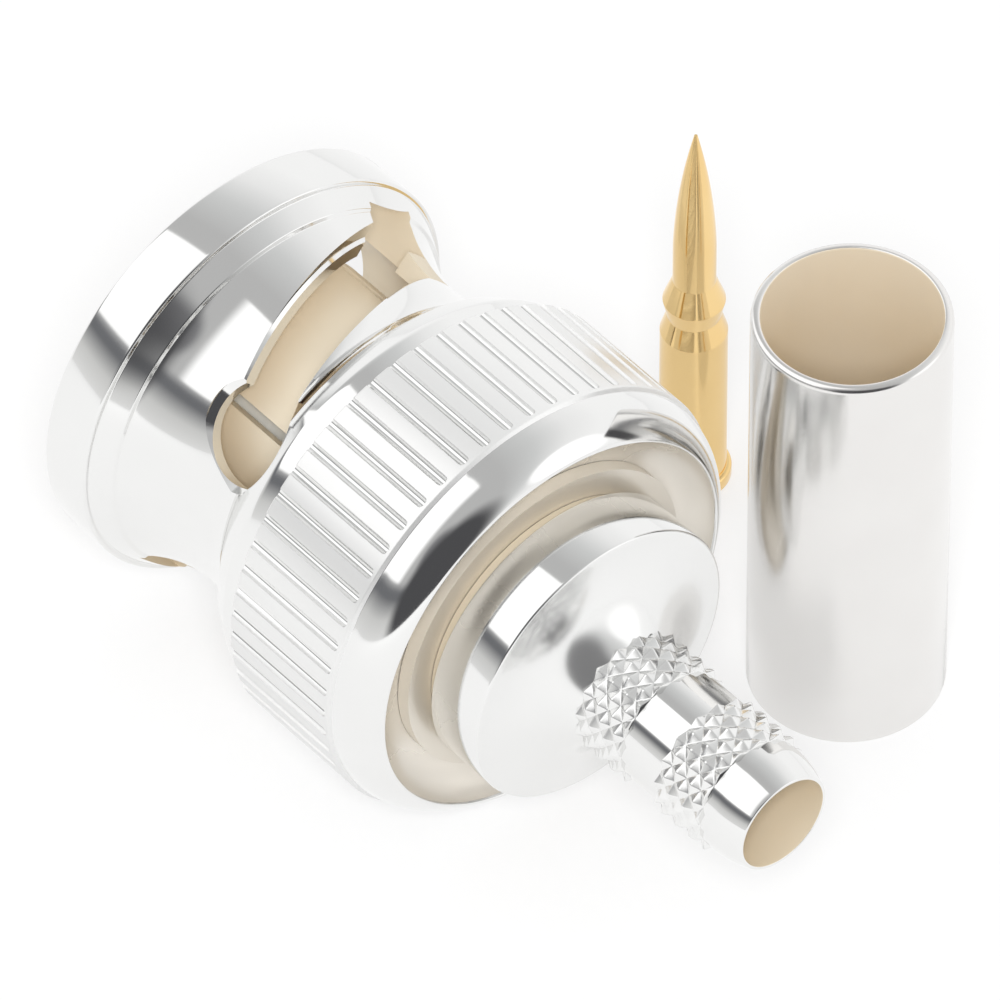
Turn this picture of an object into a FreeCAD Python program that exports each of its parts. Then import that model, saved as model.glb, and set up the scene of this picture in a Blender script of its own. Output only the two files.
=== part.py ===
"""A crimp-type bayonet cable plug for coaxial cable, with its loose contact pin and crimp ferrule.

X runs along the plug's axis, out of its mating end. The origin is the centre of the outer contact's tip.
+Z is up, and the plug lies on its coupling nut, with the pin and the ferrule standing on the same floor.
Angles round the axis are measured from +Z towards +Y.
"""
import FreeCAD
import Part
import Sketcher

import math
import os

App = FreeCAD
doc = FreeCAD.newDocument("Plug")

# Driving sizes, in millimetres and degrees
SIZES = {
    # Interface of the mating end
    "contact_outer_radius": 4.05,
    "contact_wall": 0.5,
    "contact_slot_width": 0.4,
    "contact_slot_length": 5.0,
    "contact_slot_turn": 45,
    "contact_edge": 0.1,
    "contact_tube_length": 8.6,
    "stud_reach": 6.28,
    "stud_channel_width": 2.1,
    # Coupling nut
    "nut_radius": 7.25,
    "nut_bore_radius": 4.92,
    "nut_front": 1.6,
    "nut_mouth_chamfer": 0.45,
    "collar_radius": 6.8,
    "collar_length": 1.75,
    "collar_edge": 0.12,
    "shelf_radius": 6.62,
    "shelf_length": 0.64,
    "shelf_rear_radius": 6.27,
    "waist_radius": 5.45,
    "waist_place": -3.2,
    "waist_arc_radius": 4.4,
    "waist_front_reach": 2.38,
    "waist_rear_reach": 2.0,
    "neck_radius": 6.5,
    "neck_place": -5.75,
    "shoulder_radius": 6.92,
    "shoulder_place": -6.5,
    "grip_front": -7.1,
    "grip_length": 4.45,
    "grip_front_radius": 6.96,
    "grip_bevel": 0.15,
    "flute_count": 54,
    "flute_radius": 0.17,
    "flute_setback": 0.15,
    "flute_length": 4.1,
    "nose_arc_radius": 1.6,
    "recess_mouth_radius": 6.3,
    "recess_floor_radius": 5.75,
    "recess_depth": 0.88,
    "recess_wall_radius": 6.05,
    "recess_wall_depth": 0.62,
    "inner_flange_radius": 4.35,
    "inner_flange_thickness": 0.6,
    "cam_start": -2.0,
    "cam_rise": 2.5,
    "cam_turns": 0.26,
    "cam_reach": 6.0,
    "detent_radius": 1.6,
    "detent_place": -4.4,
    "nut_rest_turn": 44.7,
    # Front body behind the outer contact
    "root_radius": 4.25,
    "body_flange_radius": 4.75,
    "body_flange_front": -9.81,
    "body_flange_thickness": 0.63,
    "journal_radius": 4.25,
    "journal_land": 0.4,
    "front_bore_depth": 9.4,
    "web_bore_radius": 2.5,
    "web_thickness": 0.9,
    "socket_radius": 3.2,
    "ring_groove_depth": 0.4,
    # Ring, springs, seal
    "retaining_ring_radius": 5.1,
    "retaining_ring_thickness": 0.45,
    "retaining_ring_gap": 2.4,
    "wave_thickness": 0.16,
    "wave_swing": 0.1,
    "wave_count": 3,
    "washer_inner_radius": 4.35,
    "washer_outer_radius": 4.85,
    "thrust_washer_thickness": 0.2,
    "gasket_outer_radius": 4.82,
    "gasket_thickness": 0.68,
    # Insulators
    "insulator_setback": 1.0,
    "insulator_sleeve_length": 4.2,
    "insulator_sleeve_gap": 0.35,
    "insulator_sleeve_wall": 0.78,
    "insulator_pin_bore": 0.72,
    "bead_insulator_length": 1.66,
    "bead_insulator_bore": 1.06,
    # Rear body
    "rear_flange_radius": 4.63,
    "rear_flange_length": 1.99,
    "rear_flange_chamfer": 0.08,
    "spigot_length": 0.9,
    "cone_length": 1.25,
    "cone_arc_radius": 3.2,
    "stem_radius": 1.85,
    "stem_length": 7.97,
    "stem_bore_radius": 1.5,
    "stem_end_radius": 1.6,
    "stem_end_length": 1.1,
    "stem_end_arc_radius": 4.0,
    "knurl_peak_radius": 2.08,
    "knurl_valley_radius": 1.87,
    "knurl_columns": 16,
    "knurl_rows": 3,
    "first_knurl_place": 1.25,
    "second_knurl_place": 4.65,
    "knurl_length": 1.85,
    # Contact pin
    "pin_place_x": -6.22,
    "pin_place_y": -11.27,
    "pin_length": 14.46,
    "pin_barrel_radius": 1.0,
    "pin_barrel_length": 6.27,
    "pin_foot_radius": 1.15,
    "pin_foot_length": 0.5,
    "pin_crimp_bore": 0.5,
    "pin_crimp_depth": 4.6,
    "pin_waist_radius": 0.8,
    "pin_waist_place": 6.94,
    "pin_barb_radius": 0.93,
    "pin_barb_place": 7.56,
    "pin_barb_top": 8.39,
    "pin_shaft_radius": 0.66,
    "pin_taper_start": 10.05,
    "pin_taper_radius": 24.0,
    "pin_tip_radius": 0.05,
    "pin_edge": 0.12,
    # Crimp ferrule
    "ferrule_place_x": -14.91,
    "ferrule_place_y": -9.58,
    "ferrule_radius": 2.92,
    "ferrule_wall": 0.29,
    "ferrule_length": 15.16,
    "ferrule_edge": 0.09,
    # Clearances
    "seat_gap": 0.02,
    "fit_gap": 0.05,
}

sheet = doc.addObject("Spreadsheet::Sheet", "Sizes")
for row, (alias, number) in enumerate(SIZES.items(), start=1):
    sheet.set(f"A{row}", alias)
    sheet.set(f"B{row}", str(number))
    sheet.setAlias(f"B{row}", alias)
doc.recompute()


def value(expression):
    """The number that an expression in the sheet's sizes comes to."""
    return float(sheet.evalExpression(expression))


# Places along the axis that several pieces share, from the mating end to the cable end
COLLAR_REAR = "(Sizes.nut_front - Sizes.collar_length)"
SHELF_REAR = f"({COLLAR_REAR} - Sizes.shelf_length)"
GRIP_REAR = "(Sizes.grip_front - Sizes.grip_length)"
TUBE_REAR = "(0 - Sizes.contact_tube_length)"
FLANGE_REAR = "(Sizes.body_flange_front - Sizes.body_flange_thickness)"
WAVE_HEIGHT = "(Sizes.wave_thickness + 2 * Sizes.wave_swing)"
FRONT_WAVE = f"({FLANGE_REAR} - Sizes.seat_gap - {WAVE_HEIGHT} / 2)"
REAR_WAVE = f"({FRONT_WAVE} - {WAVE_HEIGHT} - Sizes.seat_gap)"
THRUST_FRONT = f"({REAR_WAVE} - {WAVE_HEIGHT} / 2 - Sizes.seat_gap)"
THRUST_REAR = f"({THRUST_FRONT} - Sizes.thrust_washer_thickness)"
NUT_FLANGE_FRONT = f"({THRUST_REAR} - Sizes.seat_gap)"
RECESS_FLOOR = f"({NUT_FLANGE_FRONT} - Sizes.inner_flange_thickness)"
NUT_REAR = f"({RECESS_FLOOR} - Sizes.recess_depth)"
RING_FRONT = f"({RECESS_FLOOR} - Sizes.seat_gap)"
RING_REAR = f"({RING_FRONT} - Sizes.retaining_ring_thickness)"
BODY_REAR = f"({RING_REAR} - Sizes.seat_gap - Sizes.journal_land)"
WEB_FRONT = "(0 - Sizes.front_bore_depth)"
WEB_REAR = f"({WEB_FRONT} - Sizes.web_thickness)"
REAR_FLANGE_FRONT = f"({BODY_REAR} - Sizes.seat_gap)"
REAR_FLANGE_REAR = f"({REAR_FLANGE_FRONT} - Sizes.rear_flange_length)"
STEM_END = f"({REAR_FLANGE_REAR} - Sizes.stem_length)"
SPIGOT_FRONT = f"({BODY_REAR} + Sizes.spigot_length)"

# Radii inside the outer contact, from its wall inwards
CONTACT_BORE = "(Sizes.contact_outer_radius - Sizes.contact_wall)"
SLEEVE_RADIUS = f"({CONTACT_BORE} - Sizes.insulator_sleeve_gap)"
SLEEVE_BORE = f"({SLEEVE_RADIUS} - Sizes.insulator_sleeve_wall)"


def new_body(name):
    """An empty piece, whose name is also its file's name."""
    body = doc.addObject("PartDesign::Body", name)
    body.Label = name
    return body


def origin_part(body, role):
    """One of a body's own origin planes or axes."""
    return next(part for part in body.Origin.OriginFeatures if part.Role == role)


def new_sketch(body, name, role):
    """An empty sketch on one of the body's origin planes."""
    sketch = body.newObject("Sketcher::SketchObject", name)
    sketch.AttachmentSupport = [(origin_part(body, role), "")]
    sketch.MapMode = "FlatFace"
    return sketch


def arc_middle(start, end, radius, side):
    """The middle of an arc from start to end, which bows to the left of that way if side is 1."""
    chord = end - start
    sagitta = radius - math.sqrt(radius ** 2 - (chord.Length / 2) ** 2)
    left = App.Vector(-chord.y, chord.x, 0).normalize()
    return (start + end) / 2 + left * (sagitta * side)


def outline(body, name, role, corners, arcs=None):
    """A closed outline through corners given as pairs of expressions.

    arcs holds, for the number of a corner, the radius and side of the arc that runs from it to the next.
    """
    arcs = arcs or {}
    sketch = new_sketch(body, name, role)
    places = [App.Vector(value(across), value(up), 0) for across, up in corners]
    count = len(places)
    for number, start in enumerate(places):
        end = places[(number + 1) % count]
        if number in arcs:
            radius, side = arcs[number]
            sketch.addGeometry(Part.Arc(start, arc_middle(start, end, value(radius), side), end), False)
        else:
            sketch.addGeometry(Part.LineSegment(start, end), False)

    def end_at(number, place):
        """Which end of an edge, 1 or 2, lies at a place: an arc may run the other way round."""
        return 1 if (sketch.getPoint(number, 1) - place).Length < 1e-6 else 2

    for number, (across, up) in enumerate(corners):
        place = places[number]
        here = end_at(number, place)
        before = (number - 1) % count
        sketch.addConstraint(Sketcher.Constraint("Coincident", before, end_at(before, place), number, here))
        for kind, size, expression in (("DistanceX", place.x, across), ("DistanceY", place.y, up)):
            constraint = sketch.addConstraint(Sketcher.Constraint(kind, -1, 1, number, here, size))
            sketch.setExpression(f"Constraints[{constraint}]", expression)
    for number, (radius, _) in arcs.items():
        constraint = sketch.addConstraint(Sketcher.Constraint("Radius", number, value(radius)))
        sketch.setExpression(f"Constraints[{constraint}]", radius)
    return sketch


def circle(body, name, role, across, up, radius):
    """A sketch of one circle, with its centre and radius given as expressions."""
    sketch = new_sketch(body, name, role)
    centre = App.Vector(value(across), value(up), 0)
    sketch.addGeometry(Part.Circle(centre, App.Vector(0, 0, 1), value(radius)), False)
    for kind, size, expression in (("DistanceX", centre.x, across), ("DistanceY", centre.y, up)):
        constraint = sketch.addConstraint(Sketcher.Constraint(kind, -1, 1, 0, 3, size))
        sketch.setExpression(f"Constraints[{constraint}]", expression)
    constraint = sketch.addConstraint(Sketcher.Constraint("Radius", 0, value(radius)))
    sketch.setExpression(f"Constraints[{constraint}]", radius)
    return sketch


def revolve(body, name, sketch, axis):
    """Turns an outline once round one of its sketch's axes."""
    turned = body.newObject("PartDesign::Revolution", name)
    turned.Profile = sketch
    turned.ReferenceAxis = (sketch, [axis])
    turned.Angle = 360
    doc.recompute()
    return turned


def pocket(body, name, sketch, depth):
    """Cuts a sketch's shape into the body, against the sketch's normal."""
    before = body.Shape.Volume
    cut = body.newObject("PartDesign::Pocket", name)
    cut.Profile = sketch
    cut.setExpression("Length", depth)
    doc.recompute()
    if cut.Shape.Volume >= before:
        raise RuntimeError(f"{name} removed nothing")
    return cut


def around(body, name, feature, count):
    """Repeats a cut evenly round the X axis."""
    pattern = body.newObject("PartDesign::PolarPattern", name)
    pattern.Originals = [feature]
    pattern.Axis = (origin_part(body, "X_Axis"), [""])
    pattern.Angle = 360
    pattern.setExpression("Occurrences", count)
    body.Tip = pattern
    doc.recompute()
    return pattern


def turned_piece(name, corners, arcs=None, seam=0):
    """A piece turned about the plug's axis, from a half outline drawn at an angle from the XY plane."""
    body = new_body(name)
    sketch = outline(body, name + "_outline", "XY_Plane", corners, arcs)
    sketch.AttachmentOffset = App.Placement(App.Vector(), App.Rotation(App.Vector(1, 0, 0), seam))
    revolve(body, name + "_turning", sketch, "H_Axis")
    return body


def standing_piece(name, corners, place_x, place_y, arcs=None):
    """A piece turned about its own upright axis, standing on the floor under the nut."""
    body = new_body(name)
    revolve(body, name + "_turning", outline(body, name + "_outline", "XZ_Plane", corners, arcs), "V_Axis")
    body.setExpression("Placement.Base.x", place_x)
    body.setExpression("Placement.Base.y", place_y)
    body.setExpression("Placement.Base.z", "0 - Sizes.nut_radius")
    return body


def waist_surface(reach):
    """The radius of the nut's waist at a distance along the axis from its narrowest place."""
    fall = f"sqrt(Sizes.waist_arc_radius ^ 2 - {reach} ^ 2)"
    return f"(Sizes.waist_radius + Sizes.waist_arc_radius - {fall})"


def coupling_nut():
    """The bayonet nut: a turned brass ring with two stud channels, cam slots, detent holes and flutes."""
    corners = [
        ("Sizes.nut_front", "Sizes.nut_bore_radius + Sizes.nut_mouth_chamfer"),
        ("Sizes.nut_front", "Sizes.collar_radius - Sizes.collar_edge"),
        ("Sizes.nut_front - Sizes.collar_edge", "Sizes.collar_radius"),
        (COLLAR_REAR, "Sizes.collar_radius"),
        (COLLAR_REAR, "Sizes.shelf_radius"),
        (SHELF_REAR, "Sizes.shelf_rear_radius"),
        ("Sizes.waist_place + Sizes.waist_front_reach", waist_surface("Sizes.waist_front_reach")),
        ("Sizes.waist_place - Sizes.waist_rear_reach", waist_surface("Sizes.waist_rear_reach")),
        ("Sizes.neck_place", "Sizes.neck_radius"),
        ("Sizes.shoulder_place", "Sizes.shoulder_radius"),
        ("Sizes.grip_front", "Sizes.grip_front_radius"),
        ("Sizes.grip_front - Sizes.grip_bevel", "Sizes.nut_radius"),
        (f"{GRIP_REAR} + Sizes.grip_bevel", "Sizes.nut_radius"),
        (GRIP_REAR, "Sizes.nut_radius - Sizes.grip_bevel"),
        (NUT_REAR, "Sizes.recess_mouth_radius"),
        (f"{NUT_REAR} + Sizes.recess_wall_depth", "Sizes.recess_wall_radius"),
        (RECESS_FLOOR, "Sizes.recess_floor_radius"),
        (RECESS_FLOOR, "Sizes.inner_flange_radius"),
        (NUT_FLANGE_FRONT, "Sizes.inner_flange_radius"),
        (NUT_FLANGE_FRONT, "Sizes.nut_bore_radius"),
        ("Sizes.nut_front - Sizes.nut_mouth_chamfer", "Sizes.nut_bore_radius"),
    ]
    arcs = {6: ("Sizes.waist_arc_radius", 1), 13: ("Sizes.nose_arc_radius", -1)}
    # The outline is drawn clear of the slots, so that no cut meets the turned faces' seam
    body = turned_piece("coupling_nut", corners, arcs, seam=-45)

    # The studs of the mating jack enter by two straight channels inside the collar
    half = "Sizes.stud_channel_width / 2"
    channel = [
        (f"0 - {half}", "Sizes.nut_bore_radius - Sizes.stud_channel_width / 4"),
        (half, "Sizes.nut_bore_radius - Sizes.stud_channel_width / 4"),
        (half, "Sizes.stud_reach"),
        (f"0 - {half}", "Sizes.stud_reach"),
    ]
    sketch = outline(body, "channel_outline", "YZ_Plane", channel)
    sketch.setExpression("AttachmentOffset.Base.z", "Sizes.nut_front")
    entry = pocket(body, "channel", sketch, "Sizes.nut_front - Sizes.cam_start")
    around(body, "channels", entry, "2")

    # From each channel a cam slot winds back a quarter turn and breaks through the waist
    cam = [
        (f"Sizes.cam_start - {half}", "Sizes.nut_bore_radius - Sizes.stud_channel_width / 4"),
        (f"Sizes.cam_start + {half}", "Sizes.nut_bore_radius - Sizes.stud_channel_width / 4"),
        (f"Sizes.cam_start + {half}", "Sizes.cam_reach"),
        (f"Sizes.cam_start - {half}", "Sizes.cam_reach"),
    ]
    sketch = outline(body, "cam_outline", "XZ_Plane", cam)
    doc.recompute()
    before = body.Shape.Volume
    slot = body.newObject("PartDesign::SubtractiveHelix", "cam_slot")
    slot.Profile = sketch
    slot.ReferenceAxis = (sketch, ["H_Axis"])
    slot.Mode = "height-turns-angle"
    slot.setExpression("Height", "Sizes.cam_rise")
    slot.setExpression("Turns", "Sizes.cam_turns")
    slot.Reversed = True
    doc.recompute()
    if slot.Shape.Volume >= before:
        raise RuntimeError("cam_slot removed nothing")
    around(body, "cam_slots", slot, "2")

    # A round hole at the end of each cam slot holds the stud
    sketch = circle(body, "detent_outline", "XZ_Plane", "Sizes.detent_place", "0", "Sizes.detent_radius")
    hole = pocket(body, "detent", sketch, "Sizes.nut_radius")
    around(body, "detents", hole, "2")

    # Half-round flutes run along the grip
    sketch = circle(body, "flute_outline", "YZ_Plane", "0", "Sizes.nut_radius", "Sizes.flute_radius")
    sketch.setExpression("AttachmentOffset.Base.z", "Sizes.grip_front - Sizes.flute_setback")
    flute = pocket(body, "flute", sketch, "Sizes.flute_length")
    around(body, "flutes", flute, "Sizes.flute_count")

    # At rest the nut is turned as the photograph shows it
    body.Placement = App.Placement(App.Vector(), App.Rotation(App.Vector(1, 0, 0), 1))
    body.setExpression("Placement.Rotation.Angle", "Sizes.nut_rest_turn")
    return body


def front_body():
    """The body with the slotted outer contact in front and the flange that carries gasket and springs."""
    groove = "Sizes.journal_radius - Sizes.ring_groove_depth"
    corners = [
        ("0", CONTACT_BORE),
        ("0", "Sizes.contact_outer_radius - Sizes.contact_edge"),
        ("0 - Sizes.contact_edge", "Sizes.contact_outer_radius"),
        (TUBE_REAR, "Sizes.contact_outer_radius"),
        (TUBE_REAR, "Sizes.root_radius"),
        ("Sizes.body_flange_front", "Sizes.root_radius"),
        ("Sizes.body_flange_front", "Sizes.body_flange_radius"),
        (FLANGE_REAR, "Sizes.body_flange_radius"),
        (FLANGE_REAR, "Sizes.journal_radius"),
        (f"{RING_FRONT} + Sizes.seat_gap", "Sizes.journal_radius"),
        (f"{RING_FRONT} + Sizes.seat_gap", groove),
        (f"{RING_REAR} - Sizes.seat_gap", groove),
        (f"{RING_REAR} - Sizes.seat_gap", "Sizes.journal_radius"),
        (BODY_REAR, "Sizes.journal_radius"),
        (BODY_REAR, "Sizes.socket_radius"),
        (WEB_REAR, "Sizes.socket_radius"),
        (WEB_REAR, "Sizes.web_bore_radius"),
        (WEB_FRONT, "Sizes.web_bore_radius"),
        (WEB_FRONT, CONTACT_BORE),
    ]
    body = turned_piece("front_body", corners)
    half = "Sizes.contact_slot_width / 2"
    slot = [
        (f"0 - {half}", f"{CONTACT_BORE} - Sizes.contact_slot_width"),
        (half, f"{CONTACT_BORE} - Sizes.contact_slot_width"),
        (half, "Sizes.contact_outer_radius + Sizes.contact_slot_width"),
        (f"0 - {half}", "Sizes.contact_outer_radius + Sizes.contact_slot_width"),
    ]
    sketch = outline(body, "contact_slot_outline", "YZ_Plane", slot)
    sketch.AttachmentOffset = App.Placement(App.Vector(), App.Rotation(App.Vector(0, 0, 1), 1))
    sketch.setExpression("AttachmentOffset.Rotation.Angle", "Sizes.contact_slot_turn")
    cut = pocket(body, "contact_slot", sketch, "Sizes.contact_slot_length")
    around(body, "contact_slots", cut, "4")
    return body


def front_insulator():
    """The dielectric in the outer contact, with a thin sleeve round the contact pin's shaft."""
    rear = f"{WEB_FRONT} + Sizes.seat_gap"
    sleeve_rear = "0 - Sizes.insulator_setback - Sizes.insulator_sleeve_length"
    corners = [
        ("0 - Sizes.insulator_setback", SLEEVE_BORE),
        ("0 - Sizes.insulator_setback", SLEEVE_RADIUS),
        (sleeve_rear, SLEEVE_RADIUS),
        (sleeve_rear, f"{CONTACT_BORE} - Sizes.fit_gap"),
        (rear, f"{CONTACT_BORE} - Sizes.fit_gap"),
        (rear, "Sizes.insulator_pin_bore"),
        (sleeve_rear, "Sizes.insulator_pin_bore"),
        (sleeve_rear, SLEEVE_BORE),
    ]
    return turned_piece("front_insulator", corners)


def ring(name, front, rear, inner, outer):
    """A plain turned ring between two places along the axis."""
    return turned_piece(name, [(front, inner), (front, outer), (rear, outer), (rear, inner)])


def retaining_ring():
    """The split ring in the front body's groove, behind the nut's inner flange."""
    inner = "Sizes.journal_radius - Sizes.ring_groove_depth + Sizes.fit_gap"
    body = ring("retaining_ring", RING_FRONT, RING_REAR, inner, "Sizes.retaining_ring_radius")
    half = "Sizes.retaining_ring_gap / 2"
    gap = [
        (f"0 - {half}", "0 - Sizes.retaining_ring_radius - Sizes.fit_gap"),
        (half, "0 - Sizes.retaining_ring_radius - Sizes.fit_gap"),
        (half, f"0 - {half}"),
        (f"0 - {half}", f"0 - {half}"),
    ]
    sketch = outline(body, "ring_gap_outline", "YZ_Plane", gap)
    pocket(body, "ring_gap", sketch, f"Sizes.seat_gap - {RING_REAR}")
    return body


def wave_washer(name, middle, phase):
    """A thin ring whose face rises and falls along the axis, evenly round the circle."""
    waves = round(value("Sizes.wave_count"))
    swing = value("Sizes.wave_swing")
    points_a_wave = 12
    steps = points_a_wave * waves

    def wavy_edge(radius, shift):
        """One closed edge of the washer."""
        points = []
        for step in range(steps):
            angle = 2 * math.pi * step / steps
            along = value(middle) + shift + swing * math.cos(waves * angle + phase)
            points.append(App.Vector(along, radius * math.sin(angle), radius * math.cos(angle)))
        curve = Part.BSplineCurve()
        curve.interpolate(points, PeriodicFlag=True)
        return curve.toShape()

    half = value("Sizes.wave_thickness / 2")
    inner = value("Sizes.washer_inner_radius")
    outer = value("Sizes.washer_outer_radius")
    edges = [wavy_edge(*place) for place in ((inner, half), (outer, half), (outer, -half), (inner, -half))]
    faces = [Part.makeRuledSurface(edges[side], edges[(side + 1) % 4]) for side in range(4)]
    piece = doc.addObject("Part::Feature", name)
    piece.Label = name
    solid = Part.Solid(Part.Shell(faces))
    if solid.Volume < 0:
        solid.reverse()
    piece.Shape = solid
    return piece


def knurl_band(name, front):
    """A band of diamond knurling: crossed grooves round the stem leave rows of four-sided points."""
    columns = round(value("Sizes.knurl_columns"))
    rows = round(value("Sizes.knurl_rows"))
    start = value(front)
    step = value("Sizes.knurl_length") / (2 * rows)
    radii = (value("Sizes.knurl_valley_radius"), value("Sizes.knurl_peak_radius"))

    def corner(column, row):
        """A point of the lattice: a crossing of two grooves, or the top of a diamond."""
        radius = radii[(column + row) % 2]
        angle = math.pi * (column % (2 * columns)) / columns
        return App.Vector(start - row * step, radius * math.sin(angle), radius * math.cos(angle))

    def facet(*corners):
        """A flat face through corners."""
        return Part.Face(Part.makePolygon([*corners, corners[0]]))

    faces = []
    for column in range(2 * columns):
        for row in range(2 * rows):
            square = [corner(column + x, row + y) for x, y in ((0, 0), (1, 0), (1, 1), (0, 1))]
            # Each square is split along the groove that crosses it
            if (column + row) % 2 == 0:
                faces.append(facet(square[0], square[1], square[2]))
                faces.append(facet(square[0], square[2], square[3]))
            else:
                faces.append(facet(square[1], square[2], square[3]))
                faces.append(facet(square[1], square[3], square[0]))
    for row in (0, 2 * rows):
        faces.append(facet(*[corner(column, row) for column in range(2 * columns)]))
    solid = Part.Solid(Part.Shell(faces))
    if solid.Volume < 0:
        solid.reverse()
    # The band is hollow inside the stem's wall, so that the bore stays open
    wall_middle = value("(Sizes.stem_radius + Sizes.stem_bore_radius) / 2")
    length = value("Sizes.knurl_length")
    core = Part.makeCylinder(wall_middle, length, App.Vector(start, 0, 0), App.Vector(-1, 0, 0))
    band = doc.addObject("Part::Feature", name)
    band.Shape = solid.cut(core)
    return band


def rear_body():
    """The pressed-in rear body: spigot, flange, flared cone and knurled crimp stem, bored for the cable."""
    spigot = "Sizes.socket_radius - Sizes.fit_gap"
    corners = [
        (SPIGOT_FRONT, "Sizes.stem_bore_radius"),
        (SPIGOT_FRONT, spigot),
        (REAR_FLANGE_FRONT, spigot),
        (REAR_FLANGE_FRONT, "Sizes.rear_flange_radius"),
        (f"{REAR_FLANGE_REAR} + Sizes.rear_flange_chamfer", "Sizes.rear_flange_radius"),
        (REAR_FLANGE_REAR, "Sizes.rear_flange_radius - Sizes.rear_flange_chamfer"),
        (f"{REAR_FLANGE_REAR} - Sizes.cone_length", "Sizes.stem_radius"),
        (f"{STEM_END} + Sizes.stem_end_length", "Sizes.stem_radius"),
        (STEM_END, "Sizes.stem_end_radius"),
        (STEM_END, "Sizes.stem_bore_radius"),
    ]
    arcs = {5: ("Sizes.cone_arc_radius", 1), 7: ("Sizes.stem_end_arc_radius", -1)}
    turning = turned_piece("stem_turning", corners, arcs)
    bands = [
        knurl_band("first_knurl", f"{REAR_FLANGE_REAR} - Sizes.first_knurl_place"),
        knurl_band("second_knurl", f"{REAR_FLANGE_REAR} - Sizes.second_knurl_place"),
    ]
    piece = doc.addObject("Part::MultiFuse", "rear_body")
    piece.Label = "rear_body"
    piece.Shapes = [turning, *bands]
    return piece


def contact_pin():
    """The gold contact: pointed shaft, barb, waist and crimp barrel with a rim at its foot."""
    edge = "Sizes.pin_edge"
    corners = [
        ("Sizes.pin_crimp_bore", "0"),
        (f"Sizes.pin_foot_radius - {edge}", "0"),
        ("Sizes.pin_foot_radius", edge),
        ("Sizes.pin_foot_radius", f"Sizes.pin_foot_length - {edge}"),
        ("Sizes.pin_barrel_radius", "Sizes.pin_foot_length"),
        ("Sizes.pin_barrel_radius", "Sizes.pin_barrel_length"),
        ("Sizes.pin_waist_radius", "Sizes.pin_waist_place"),
        ("Sizes.pin_barb_radius", "Sizes.pin_barb_place"),
        ("Sizes.pin_shaft_radius", "Sizes.pin_barb_top"),
        ("Sizes.pin_shaft_radius", "Sizes.pin_taper_start"),
        ("Sizes.pin_tip_radius", "Sizes.pin_length"),
        ("0", "Sizes.pin_length"),
        ("0", "Sizes.pin_crimp_depth"),
        ("Sizes.pin_crimp_bore", "Sizes.pin_crimp_depth"),
    ]
    arcs = {9: ("Sizes.pin_taper_radius", -1)}
    return standing_piece("contact_pin", corners, "Sizes.pin_place_x", "Sizes.pin_place_y", arcs)


def crimp_ferrule():
    """The soft tube that is crimped over the cable's braid on the stem."""
    inner = "Sizes.ferrule_radius - Sizes.ferrule_wall"
    outer = "Sizes.ferrule_radius"
    top = "Sizes.ferrule_length"
    edge = "Sizes.ferrule_edge"
    corners = [
        (inner, edge),
        (f"{inner} + {edge}", "0"),
        (f"{outer} - {edge}", "0"),
        (outer, edge),
        (outer, f"{top} - {edge}"),
        (f"{outer} - {edge}", top),
        (f"{inner} + {edge}", top),
        (inner, f"{top} - {edge}"),
    ]
    return standing_piece("crimp_ferrule", corners, "Sizes.ferrule_place_x", "Sizes.ferrule_place_y")


pieces = [
    coupling_nut(),
    front_body(),
    front_insulator(),
    ring(
        "rear_insulator",
        f"{WEB_REAR} - Sizes.seat_gap",
        f"{WEB_REAR} - Sizes.seat_gap - Sizes.bead_insulator_length",
        "Sizes.bead_insulator_bore",
        "Sizes.socket_radius - Sizes.fit_gap",
    ),
    ring(
        "gasket",
        "Sizes.body_flange_front + Sizes.seat_gap + Sizes.gasket_thickness",
        "Sizes.body_flange_front + Sizes.seat_gap",
        "Sizes.root_radius + Sizes.fit_gap",
        "Sizes.gasket_outer_radius",
    ),
    wave_washer("front_wave_washer", FRONT_WAVE, 0),
    wave_washer("rear_wave_washer", REAR_WAVE, math.pi),
    ring(
        "thrust_washer",
        THRUST_FRONT,
        THRUST_REAR,
        "Sizes.washer_inner_radius",
        "Sizes.washer_outer_radius",
    ),
    retaining_ring(),
    rear_body(),
    contact_pin(),
    crimp_ferrule(),
]
doc.recompute()

for made in doc.Objects:
    if "Invalid" in made.State or "Error" in made.State:
        raise RuntimeError(f"{made.Name} failed: {made.State}")
for piece in pieces:
    if piece.Shape.isNull() or not piece.Shape.isValid():
        raise RuntimeError(f"{piece.Label} has no valid shape")

os.makedirs("parts", exist_ok=True)
for piece in pieces:
    piece.Shape.exportStep(f"parts/{piece.Label}.step")
    box = piece.Shape.BoundBox
    print(f"{piece.Label}: {len(piece.Shape.Solids)} solid, {piece.Shape.Volume:.3f} mm3, {box}")
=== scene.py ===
"""A bayonet cable plug lying on its fluted nut, with its gold contact pin and its ferrule standing by."""
import math

import bpy
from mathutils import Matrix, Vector


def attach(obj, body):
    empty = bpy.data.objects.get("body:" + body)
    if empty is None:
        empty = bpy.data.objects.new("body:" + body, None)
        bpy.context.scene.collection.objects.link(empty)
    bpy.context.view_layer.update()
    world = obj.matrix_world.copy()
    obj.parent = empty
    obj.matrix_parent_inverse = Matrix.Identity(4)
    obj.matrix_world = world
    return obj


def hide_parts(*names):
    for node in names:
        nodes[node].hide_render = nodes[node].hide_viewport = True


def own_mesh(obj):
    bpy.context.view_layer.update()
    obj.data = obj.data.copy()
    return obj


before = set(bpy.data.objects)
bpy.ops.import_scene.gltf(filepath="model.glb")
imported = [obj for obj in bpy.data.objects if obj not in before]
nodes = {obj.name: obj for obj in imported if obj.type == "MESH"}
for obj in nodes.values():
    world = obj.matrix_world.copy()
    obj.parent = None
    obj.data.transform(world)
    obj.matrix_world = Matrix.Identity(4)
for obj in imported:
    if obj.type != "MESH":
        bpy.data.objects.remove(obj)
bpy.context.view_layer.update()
bpy.ops.object.select_all(action="DESELECT")

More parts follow.
